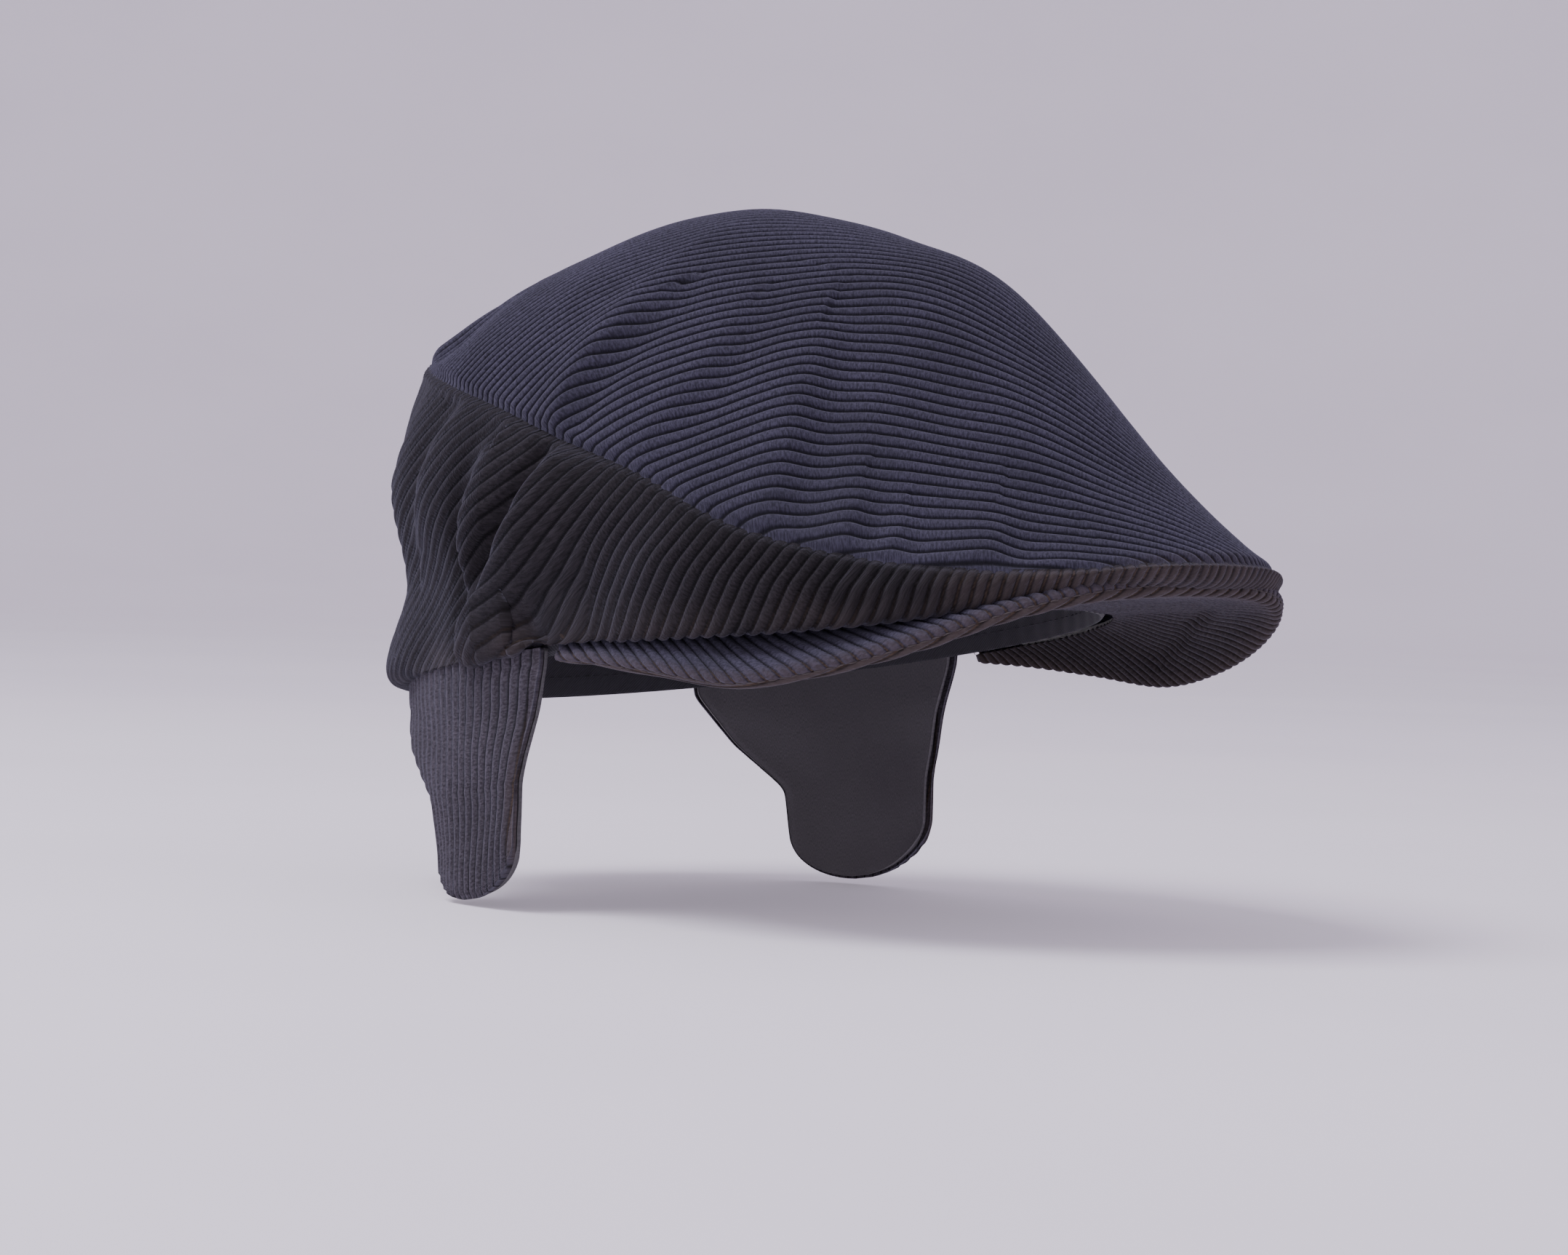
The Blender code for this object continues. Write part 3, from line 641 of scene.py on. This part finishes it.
def crown_side_panel(name, side, creases, seed):
    """Side panel from the seam over the belly and round the fold to the hem inside."""
    stations, down = 720, 112
    seam, belly, fold = (half_outline(line, stations) for line in (SEAM_LINE, BELLY_LINE, FOLD_LINE))
    angle = np.pi - np.arctan2(fold[:, 0] / HEAD_HALF_WIDTH, -fold[:, 1] / HEAD_HALF_LENGTH)
    front = np.clip((np.radians(95) - angle) / np.radians(12), 0, 1)
    tuck = hem_point(angle, HEM_TUCK_OFFSET, 0.6)
    tuck[:, 2] += front * (PEAK_STACK + 1.0)
    tuck[:, :2] = np.where((front > 0)[:, None], tuck[:, :2] * 1.02, tuck[:, :2])
    hem = hem_point(angle, 0.7, 0.5)
    hem[:, 2] += front * (PEAK_STACK + 1.0)
    tall = smooth(8, 50, seam[:, 2] - fold[:, 2])[:, None]
    inwards = -belly * [1, 1, 0]
    inwards /= np.linalg.norm(inwards, axis=1, keepdims=True)
    at_back = smooth(20, -60, belly[:, 1])[:, None]
    upper = 0.5 * (seam + belly) - inwards * 1.6 * tall
    lower = 0.5 * (belly + fold) + inwards * tall * (0.6 + 2.6 * at_back)
    ball = fold + inwards * 1.2 * tall + [0, 0, -0.5]
    profile = np.stack([seam, upper, belly, lower, ball, 0.5 * (fold + tuck) + [0, 0, -0.6], tuck, hem], 1)
    grid = np.empty((stations, down, 3))
    v = np.empty((stations, down))
    a = arc_of(belly)
    share = np.r_[np.linspace(0, 0.06, 8)[:-1], np.linspace(0.06, 1, down - 7)]
    for i in range(stations):
        knots = arc_of(profile[i])
        v[i] = share * knots[-1]
        grid[i] = hermite(knots, profile[i], v[i])
    height = np.array([arc_of(p)[4] for p in profile[::10]])
    height = np.interp(np.arange(stations), np.arange(0, stations, 10), height)[:, None]
    normal = normals(grid, INSIDE)
    a2 = a[:, None] + 0 * v
    # wale direction turns along the panel
    steps = np.linspace(-60, a[-1] + 60, 2000)
    turn = np.radians(np.interp(steps, SIDE_TURN_A, SIDE_TURN_DEG))
    climbed = np.r_[0, np.cumsum(np.sin(turn[1:]) * np.diff(steps))]
    alpha = np.interp(a2, steps, turn)
    phase = (v * np.cos(alpha) + np.interp(a2, steps, climbed)) / SIDE_PITCH
    cross = a2 * np.cos(alpha) - v * np.sin(alpha)
    strip = smooth(60, 20, height)
    ends = smooth(0, 2.2, v) * smooth(height + 24, height + 12, v)
    lift = WALE_RISE * SIDE_PITCH * (wale(phase) - 0.55) * (0.2 + 0.8 * ends) * (1 + 0.35 * strip)
    lift -= 1.7 * np.exp(-((v / 1.5) ** 2))
    centre = np.minimum(a2, a[-1] - a2)
    lift -= 1.0 * np.exp(-((centre / 1.4) ** 2)) * smooth(0, 30, height)
    calm = smooth(height + 6, height - 6, v) * smooth(0, 5, v) * (1 - strip)
    lift += (0.6 * ripple(a2, v, 40, seed) - 1.2 * smooth(190, 120, a2)) * calm
    for line, height_mm, steep, gentle in creases:
        fold = crease(a2, v, line, height_mm, steep, gentle)
        lift += fold * smooth(height + 8, height - 3, v) * smooth(0, 6, v)
    grid = grid + normal * lift[..., None]
    grid[0, :, 0] = 0
    grid[-1, :, 0] = 0
    edge = np.exp(-(((v - height) / 7.0) ** 2)) * smooth(20, 120, a2)
    lip = smooth(24, 12, height) * smooth(0, 2, v)
    rubbed = 0.4 * edge * (0.6 + 0.5 * ripple(a2, v, 22, seed + 5))
    wear = np.clip(rubbed + 0.6 * lip * smooth(270, 330, a2), 0, 1)
    weave = np.stack([phase, cross], -1)
    piece = add_mesh(name, grid, grid_faces(stations, down), cloth_side, side, weave, wear)
    area = float(np.sum(0.5 * (v[1:, -1] + v[:-1, -1]) * np.diff(a)))
    return piece, area, (a[-1], float(v[:, -1].max()))


# ---- peak -------------------------------------------------------------------------------------
def peak_under_surface(stations, columns):
    """Underside of the peak: rows run from the right corner round the front to the left corner."""
    half = np.linspace(0, np.radians(PEAK_CORNER_DEG), stations // 2 + 1)
    inner_half = hem_point(half, PEAK_INNER_OFFSET, -PEAK_UNDER_DROP)
    outline = np.array(PEAK_EDGE, float)
    whole = np.vstack([outline[:0:-1] * [-1, 1, 1], outline])
    outer_half = side_line(whole, 2 * (stations // 2) + 1)[stations // 2:]
    mirror = [-1, 1, 1]
    inner = np.vstack([inner_half[:0:-1] * mirror, inner_half])
    outer = np.vstack([outer_half[:0:-1] * mirror, outer_half])
    share = np.linspace(0, 1, columns)[None, :, None]
    grid = inner[:, None] * (1 - share) + outer[:, None] * share
    grid[:, :, 2] += PEAK_ARCH * 4 * share[:, :, 0] * (1 - share[:, :, 0])
    return grid


def peak_cloth(name, upper):
    """One cover of the peak, rolled over the edge of the board to the seam at mid thickness."""
    stations, columns, roll = 681, 34, 9
    base = peak_under_surface(stations, columns)
    normal = normals(base, PEAK_BELOW)
    middle = (stations - 1) / 2
    turn = np.abs(np.arange(stations) - middle) / middle
    thick = PEAK_STACK * (1 - (1 - PEAK_CORNER_THIN) * np.clip((turn - 0.7) / 0.3, 0, 1) ** 2)[:, None, None]
    outward = base[:, -1] - base[:, -4]
    outward /= np.linalg.norm(outward, axis=1, keepdims=True)
    rim_normal = normal[:, -2]
    sign = 1 if upper else -1
    radius = thick[:, 0] / 2
    centre = base[:, -1] + rim_normal * radius - outward * radius
    theta = np.linspace(0, np.pi / 2, roll)[1:]
    curl = (
        centre[:, None] + rim_normal[:, None] * (sign * radius[:, None] * np.cos(theta)[None, :, None])
        + outward[:, None] * (radius[:, None] * np.sin(theta)[None, :, None])
    )
    width = np.linalg.norm(base[:, -1] - base[:, 0], axis=1)
    keep = np.clip(1 - radius[:, 0] / np.maximum(width, 1e-6), 0.2, 1)
    share = np.linspace(0, 1, columns)[None, :] * keep[:, None]
    spot = share * (columns - 1)
    low = np.clip(spot.astype(int), 0, columns - 2)
    part = (spot - low)[..., None]
    row = np.arange(stations)[:, None]
    flat = base[row, low] * (1 - part) + base[row, low + 1] * part
    flat_normal = normal[row, low] * (1 - part) + normal[row, low + 1] * part
    flat = flat + flat_normal * (thick if upper else 0 * thick)
    grid = np.concatenate([flat, curl], 1)
    out = np.concatenate([
        flat_normal * sign,
        rim_normal[:, None] * (sign * np.cos(theta))[None, :, None]
        + outward[:, None] * np.sin(theta)[None, :, None],
    ], 1)
    # the flat cut of the peak is a crescent that turns less than the worn one does
    edge_arc = arc_of(base[:, -1])
    edge_arc -= edge_arc[int(middle)]
    bend = np.radians(56) * np.abs(edge_arc / edge_arc[-1]) ** 1.1 * np.sign(edge_arc)
    flat_x = np.r_[0, np.cumsum(np.cos(0.5 * (bend[1:] + bend[:-1])) * np.diff(edge_arc))]
    flat_x -= flat_x[int(middle)]
    depth = np.zeros(grid.shape[:2])
    depth[:, 1:] = np.cumsum(np.linalg.norm(np.diff(grid, axis=1), axis=2), axis=1)
    to_edge = depth[:, -1:] - depth
    along_edge = edge_arc[:, None] + 0 * depth
    crossing = flat_x[:, None] - np.sin(bend)[:, None] * to_edge
    if not upper:
        flat_f = -np.r_[0, np.cumsum(np.sin(0.5 * (bend[1:] + bend[:-1])) * np.diff(edge_arc))]
        ahead = (flat_f - flat_f[int(middle)])[:, None] - np.cos(bend)[:, None] * to_edge
        cut = math.radians(UNDER_TURN_DEG)
        crossing = crossing * math.cos(cut) + ahead * math.sin(cut)
    pitch = PEAK_PITCH if upper else UNDER_PITCH
    phase = crossing / pitch
    along = depth * np.cos(bend)[:, None]
    rise = WALE_RISE * pitch
    settled = smooth(0.15, 1.2, to_edge) if upper else smooth(0.1, 1.6, to_edge)
    lift = rise * (wale(phase) - 0.45) * (0.55 + 0.45 * settled) - 0.35 * (1 - smooth(0, 0.8, to_edge))
    if not upper:
        lift += crease(along_edge, to_edge, [(20, 14), (70, 22), (118, 12)], 0.8, 2.0, 7.0)
        lift += crease(along_edge, to_edge, [(-110, 12), (-60, 20), (-10, 24)], 0.6, 3.0, 7.0)
    lift += 0.25 * ripple(along_edge, depth, 34, 31 if upper else 37) * smooth(0, 6, to_edge)
    grid = grid + out * lift[..., None]
    near = np.exp(-((to_edge / (3.2 if upper else 6.5)) ** 2))
    wear = np.clip(0.9 * near, 0, 1)
    weave = np.stack([phase, along], -1)
    side = 1 if upper else -1
    points = grid if upper else grid * [-1, 1, 1]
    cloth = cloth_peak if upper else cloth_under
    piece = add_mesh(name, points, grid_faces(*grid.shape[:2]), cloth, side, weave, wear)
    area = float(np.sum(0.5 * (depth[1:, -1] + depth[:-1, -1]) * np.diff(edge_arc)) * 0.8)
    seam = grid[:, -1] + out[:, -1] * 0.05
    return piece, area, seam, (2 * edge_arc[-1], float(depth[:, -1].max()))


# ---- ear flaps --------------------------------------------------------------------------------
def flap_face(offset, across=118, rows=86, inset=0.0):
    """One face of an ear flap; rows run down from inside the hem, columns from front to back edge."""
    angle = np.radians(np.linspace(FLAP_FRONT_DEG, FLAP_BACK_DEG, 400))
    hem_arc = arc_of(hem_point(angle, 0))
    t = np.linspace(0, 1, rows)
    length = FLAP_LENGTH - 0.12 - inset
    straight = FLAP_LENGTH - FLAP_TIP_ROUND
    rounding = straight + (length - straight) * np.sin((t - 0.72) / 0.28 * np.pi / 2)
    depth = np.where(t < 0.72, t / 0.72 * straight, rounding)
    depth = np.r_[np.linspace(-FLAP_TUCK, 0, 5)[:-1], depth]
    front = np.interp(depth, FLAP_DEPTHS, FLAP_FRONT_EDGE)
    back = np.interp(depth, FLAP_DEPTHS, FLAP_BACK_EDGE)
    kernel = np.exp(-np.linspace(-2, 2, 13) ** 2)
    kernel /= kernel.sum()
    front = np.convolve(np.pad(front, 6, "edge"), kernel, "valid")
    back = np.convolve(np.pad(back, 6, "edge"), kernel, "valid")
    middle, half = 0.5 * (front + back), 0.5 * (back - front) - inset / hem_arc[-1]
    past = np.clip(depth - straight, 0, None) / (FLAP_TIP_ROUND - inset)
    half = half * np.sqrt(np.clip(1 - past**2, 0, 1))
    u = np.linspace(-1, 1, across)
    place = middle[:, None] + half[:, None] * u[None, :]
    theta = np.interp(place, hem_arc / hem_arc[-1], angle)
    point = hem_point(theta, offset - FLAP_LEAN * depth[:, None], -FLAP_DROP)
    point[..., 2] -= depth[:, None]
    from_back = (back[:, None] - place) * hem_arc[-1]
    from_front = (place - front[:, None]) * hem_arc[-1]
    return point, depth, from_back, from_front, hem_arc[-1]


def flap_slab(name, side, inner_offset, outer_offset, material, ribbed, inset=0.0):
    """A closed flap layer between two offsets, ribbed on its outer face if it is corduroy."""
    outer, depth, from_back, from_front, width = flap_face(outer_offset, inset=inset)
    inner = flap_face(inner_offset, inset=inset)[0]
    normal = normals(outer, INSIDE)
    d = depth[:, None] + 0 * from_back
    border = np.minimum(np.minimum(from_back, from_front), FLAP_LENGTH - d)
    rim = smooth(0, 2.4, border - inset)
    # the wales run down the flap and draw together a little towards its tip
    from_axis = from_back + (FLAP_WALE_AXIS - np.interp(d, FLAP_DEPTHS, FLAP_BACK_EDGE)) * width
    phase = from_axis / (FLAP_PITCH * (1 - FLAP_GATHER * d / FLAP_LENGTH))
    bow = 2.2 * smooth(16, 0, from_front) * smooth(6, 46, d) * smooth(62, 44, d)
    shape = bow + 0.5 * ripple(from_back, d, 30, 91) * smooth(2, 14, d)
    shape = shape - 1.0 * smooth(10, 52, d) * smooth(14, 2, from_back)
    if ribbed:
        relief = WALE_RISE * FLAP_PITCH * (wale(phase) - 0.5) * (0.35 + 0.65 * rim)
    else:
        relief = 0.12 * ripple(from_back, d, 9, 17)
    lift = shape + relief - 0.7 * (1 - rim)
    outer = outer + normal * lift[..., None]
    inner = inner + normal * (shape + 0.35 * (1 - rim))[..., None]
    rows, columns = outer.shape[:2]
    half = rows * columns
    front_faces = grid_faces(rows, columns)
    back_faces = grid_faces(rows, columns, half)[:, ::-1]
    loop = np.r_[np.arange(columns), np.arange(1, rows) * columns + columns - 1,
                 (rows - 1) * columns + np.arange(columns - 2, -1, -1), np.arange(rows - 2, 0, -1) * columns]
    after = np.roll(loop, -1)
    rim_faces = np.stack([loop, after, after + half, loop + half], -1)[:, ::-1]
    faces = np.vstack([front_faces, back_faces, rim_faces])
    points = np.vstack([outer.reshape(-1, 3), inner.reshape(-1, 3)])
    unit = 1.0 if ribbed else FLAP_PITCH
    uv = np.stack([phase * unit, d], -1).reshape(-1, 2)
    front_wear = 0.75 * np.exp(-((from_front / 2.2) ** 2)) * smooth(6, 40, d)
    wear = np.clip(front_wear + 0.15 * np.exp(-((border / 1.6) ** 2)), 0, 1)
    weave = np.vstack([uv, uv])
    return add_mesh(name, points, faces, material, side, weave, np.r_[wear.ravel(), wear.ravel()])


# ---- inside -----------------------------------------------------------------------------------
def lining_piece(name, side, low_deg, high_deg, whole, seed):
    """Satin panel on the inside of the cap, gathered a little along its seams."""
    around, up = (360, 60) if whole else (220, 60)
    angle = np.linspace(0, 2 * np.pi, around) if whole else np.radians(np.linspace(0, 180, around))
    climb = np.radians(np.linspace(low_deg, high_deg, up))
    grid = head_dome(angle[:, None], climb[None, :], 1.6)
    a = angle[:, None] * 90 + 0 * climb
    v = np.degrees(climb)[None, :] * 1.6 + 0 * a
    near_seam = np.exp(-np.abs(v - 1.6 * LINING_SEAM_DEG) / 14)
    gather = 0.28 * np.sin(a / 3.1 + 1.7 * ripple(a, v, 60, seed)) * near_seam
    sag = 0.55 * ripple(a, v, 38, seed + 1) - 0.5 * np.exp(-((v - 1.6 * LINING_SEAM_DEG) / 1.3) ** 2)
    if not whole:
        sag = sag * np.sin(np.clip(angle, 0, np.pi))[:, None] ** 0.3
    radial = grid - np.array([0, 16.0, 30.0])
    radial /= np.linalg.norm(radial, axis=2, keepdims=True)
    fade = 1.0 if not whole else smooth(89.5, 80, np.degrees(climb))[None, :]
    grid = grid + radial * (np.clip((gather + sag) * fade, -0.9, 0.6))[..., None]
    if whole:
        grid[-1] = grid[0]
    weave = np.stack([a, v], -1)
    return add_mesh(name, grid, grid_faces(around, up), lining_cloth, side, weave)


def sweatband():
    """Folded band round the opening: a flat ring of twill with rolled upper and lower edges."""
    around = 420
    angle = np.linspace(0, 2 * np.pi, around)
    section = [(0.9, 0.0), (0.9, 0.5), (0.75, 1.0), (0.0, 1.04), (-0.35, 0.98), (-0.55, 0.85), (-0.5, 0.5),
               (-0.55, 0.15), (-0.35, 0.02), (0.0, -0.03), (0.9, 0.0)]
    knots = np.linspace(0, 1, len(section))
    fine = hermite(knots, np.array(section, float), np.linspace(0, 1, 61))
    climb = np.radians(np.clip(fine[:, 1], -0.03, 1.05) * SWEATBAND_TOP_DEG)
    puckers = 0.12 * np.sin(angle[:, None] * 70 + 2 * np.sin(5 * angle[:, None]))
    offset = fine[None, :, 0] + puckers * (fine[None, :, 0] < 0)
    out = np.cos(climb)[None, :] ** LINING_FULLNESS
    up = np.sign(climb) * np.abs(np.sin(climb)) ** LINING_FULLNESS
    x, f = oval(angle[:, None], offset)
    base = HEM_SLOPE * f
    z = base + (LINING_TOP_Z - base) * up[None, :]
    grid = np.stack([x * out, f * out + LINING_CENTRE_F * (1 - out), z], -1)
    grid[-1] = grid[0]
    weave = np.stack([angle[:, None] * 91 + 0 * z, z - base], -1)
    return add_mesh("sweatband_cloth", grid, grid_faces(*z.shape), band_cloth, 1, weave)


def band_stitches(climb_deg, spacing=3.2):
    """A row of stitches round the sweatband."""
    count = int(575 / spacing)
    paths = []
    for i in range(count):
        angle = (i + np.array([0.12, 0.3, 0.5, 0.7, 0.88])) * 2 * np.pi / count
        line = head_dome(angle, np.radians(climb_deg), -0.62)
        lift = np.array([0.22, -0.02, -0.08, -0.02, 0.22])
        out = line * [1, 1, 0]
        out /= np.linalg.norm(out, axis=1, keepdims=True)
        paths.append(line + out * lift[:, None])
    return paths


def edge_stitches(line, pull, spacing, fill=0.72):
    """Short stitches that follow a seam line, each arched a little away from it."""
    arc = arc_of(line)
    paths = []
    for start in np.arange(0, arc[-1] - spacing, spacing):
        t = start + spacing * fill * np.linspace(0, 1, 5)
        path = np.stack([np.interp(t, arc, line[:, k]) for k in range(3)], -1)
        bow = np.array([-0.15, 0.12, 0.2, 0.12, -0.15])[:, None]
        push = np.stack([np.interp(t, arc, pull[:, k]) for k in range(3)], -1)
        paths.append(path + push * bow)
    return paths


# ---- the pieces -------------------------------------------------------------------------------
def dress(piece, body, slot_name, *nodes):
    if body:
        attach(piece, body)
    if nodes:
        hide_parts(*nodes)
    return piece


top, top_area, top_size = crown_top_panel()
dress(top, "crown", "corduroy", "crown_top_panel")
for side, word, creases, seed in ((-1, "right", SIDE_CREASES, 11), (1, "left", SIDE_CREASES_LEFT, 23)):
    piece, area, size = crown_side_panel(f"crown_side_cloth_{word}", side, creases, seed)
    dress(piece, "crown", "corduroy", f"crown_side_panel_{word}")

peak_top, peak_area, peak_seam, peak_size = peak_cloth("peak_top_cloth", True)
dress(peak_top, "crown", "corduroy", "peak_top_cover")
peak_under, under_area, _, _ = peak_cloth("peak_under_cloth", False)
dress(peak_under, "crown", "corduroy", "peak_under_cover")
outwards = peak_seam - peak_seam.mean(0)
outwards /= np.linalg.norm(outwards, axis=1, keepdims=True)
piping = add_tubes("peak_edge_thread", edge_stitches(peak_seam, outwards, 3.2, 0.8), 0.2, thread_brown)
dress(piping, "crown", "corduroy")

liner_top = lining_piece("lining_crown_cloth", 1, LINING_SEAM_DEG, 89.9, True, 51)
dress(liner_top, "crown", "lining", "lining_top")
for side, word, seed in ((-1, "right", 61), (1, "left", 71)):
    piece = lining_piece(f"lining_side_cloth_{word}", side, 8.0, LINING_SEAM_DEG, False, seed)
    dress(piece, "crown", "lining", f"lining_side_{word}")
band = sweatband()
dress(band, "crown", "sweatband", "sweatband")
stitches = band_stitches(1.6) + band_stitches(SWEATBAND_TOP_DEG - 1.6)
band_thread = add_tubes("sweatband_stitching", stitches, 0.17, thread_dark)
dress(band_thread, "crown", "sweatband")

flap_grid, _, _, _, flap_width = flap_face(0.0)
for side, word in ((-1, "right"), (1, "left")):
    joint = next(j for j in frame["joints"] if j["child"] == f"flap_{word}")
    for part, layer, cloth, slot_name in (
        ("outer", FLAP_OUTER_LAYER, cloth_flap, "corduroy"),
        ("lining", FLAP_LINING_LAYER, flap_cloth, "flap_lining"),
    ):
        ribbed = part == "outer"
        inset = 0.0 if ribbed else FLAP_LINING_INSET
        piece = flap_slab(f"ear_flap_{part}_cloth_{word}", side, layer[0], layer[1], cloth, ribbed, inset)
        dress(piece, None, slot_name, f"ear_flap_{word}_{part}")
        axis = np.array(joint["axis"], float)
        axis /= np.linalg.norm(axis)
        downward = np.array([0, 0, -1.0])
        downward -= axis * (downward @ axis)
        downward /= np.linalg.norm(downward)
        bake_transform(piece)

board = frame["nodes"]["peak_board"]
board.data.materials.clear()
board.data.materials.append(board_plastic)

# ---- floor, light and camera ------------------------------------------------------------------
def studio_floor():
    """A pale floor that rises into a backdrop all the way round."""
    level = cad_low.z - 0.0015
    radius = np.r_[np.linspace(0.0, 3.2, 14), 3.2 + 2.2 * np.sin(np.linspace(0.08, np.pi / 2, 14)), 5.4]
    height = np.r_[np.zeros(14), 2.2 * (1 - np.cos(np.linspace(0.08, np.pi / 2, 14))), 7.0]
    turn = np.linspace(0, 2 * np.pi, 97)
    points = np.stack([
        radius[None, :] * np.cos(turn)[:, None], radius[None, :] * np.sin(turn)[:, None],
        height[None, :] + level + 0 * turn[:, None],
    ], -1)
    faces = grid_faces(97, len(radius))
    floor = add_mesh("studio_floor", points / MM * [1, -1, 1], faces, floor_material(), 1)
    return floor


def floor_material():
    material, tree, shader = new_material("floor_paper")
    place = node(tree, "ShaderNodeTexCoord").outputs["Object"]
    grain = noise(tree, place, 3.0, 3.0)
    colour = blend_colour(tree, ramp(tree, grain, 0.3, 0.7), (0.70, 0.665, 0.735), (0.73, 0.695, 0.765))
    tree.links.new(colour, shader.inputs["Base Color"])
    shader.inputs["Roughness"].default_value = 0.9
    shader.inputs["Emission Color"].default_value = (0.80, 0.73, 0.84, 1)
    shader.inputs["Emission Strength"].default_value = 0.27
    return material


studio_floor()


def matrix_of(x_axis, y_axis, z_axis, place):
    rows = np.eye(4)
    rows[:3, 0], rows[:3, 1], rows[:3, 2], rows[:3, 3] = x_axis, y_axis, z_axis, place
    return [list(column) for column in rows.T]


def area_light(name, location, target, size, power, colour):
    data = bpy.data.lights.new(name, "AREA")
    data.shape, data.size, data.size_y = "RECTANGLE", size[0], size[1]
    data.energy, data.color = power, colour
    lamp = bpy.data.objects.new(name, data)
    bpy.context.scene.collection.objects.link(lamp)
    place = np.array(location, float)
    back = place - np.array(target, float)
    back /= np.linalg.norm(back)
    across = np.cross([0, 0, 1.0], back)
    across /= np.linalg.norm(across)
    above = np.cross(back, across)
    lamp.matrix_world = matrix_of(across, above, back, place)


area_light("key_above", (-0.95, 0.4, 1.8), (0, 0, 0.05), (1.1, 1.1), 44, (0.94, 0.93, 1.0))
area_light("fill_left", (-1.9, 0.5, 0.5), (0, 0, 0.0), (1.2, 1.2), 7, (1.0, 0.95, 0.95))
area_light("fill_front", (-0.3, -2.2, 0.5), (0, 0, 0.0), (1.8, 1.2), 3, (1.0, 0.95, 0.92))

world = bpy.data.worlds.new("studio_air")
world.use_nodes = True
world.node_tree.nodes["Background"].inputs["Color"].default_value = (0.78, 0.73, 0.83, 1)
world.node_tree.nodes["Background"].inputs["Strength"].default_value = 0.75
bpy.context.scene.world = world

VIEW_TURN, VIEW_RISE, VIEW_ROLL = math.radians(48), math.radians(1.2), math.radians(2.0)
VIEW_DISTANCE = 1.2
# where the head opening's middle lies from the middle of the picture
AIM_RIGHT, AIM_UP = -0.00665, -0.00696


def place_camera():
    """The camera stands off the cap's right front corner, almost level with it and tilted a little."""
    sin_t, cos_t, sin_r, cos_r = (g(v) for v in (VIEW_TURN, VIEW_RISE) for g in (math.sin, math.cos))
    back = np.array([-sin_t * cos_r, -cos_t * cos_r, sin_r])
    right = np.array([cos_t, -sin_t, 0.0])
    above = np.array([sin_t * sin_r, cos_t * sin_r, cos_r])
    rolled_right = right * math.cos(VIEW_ROLL) + above * math.sin(VIEW_ROLL)
    rolled_up = above * math.cos(VIEW_ROLL) - right * math.sin(VIEW_ROLL)
    data = bpy.data.cameras.new("photo_view")
    data.lens, data.sensor_width = 99.4, 36.0
    camera = bpy.data.objects.new("photo_view", data)
    bpy.context.scene.collection.objects.link(camera)
    place = back * VIEW_DISTANCE - rolled_right * AIM_RIGHT - rolled_up * AIM_UP
    camera.matrix_world = matrix_of(rolled_right, rolled_up, back, place)
    data.clip_start, data.clip_end = 0.05, 60.0
    bpy.context.scene.camera = camera


place_camera()
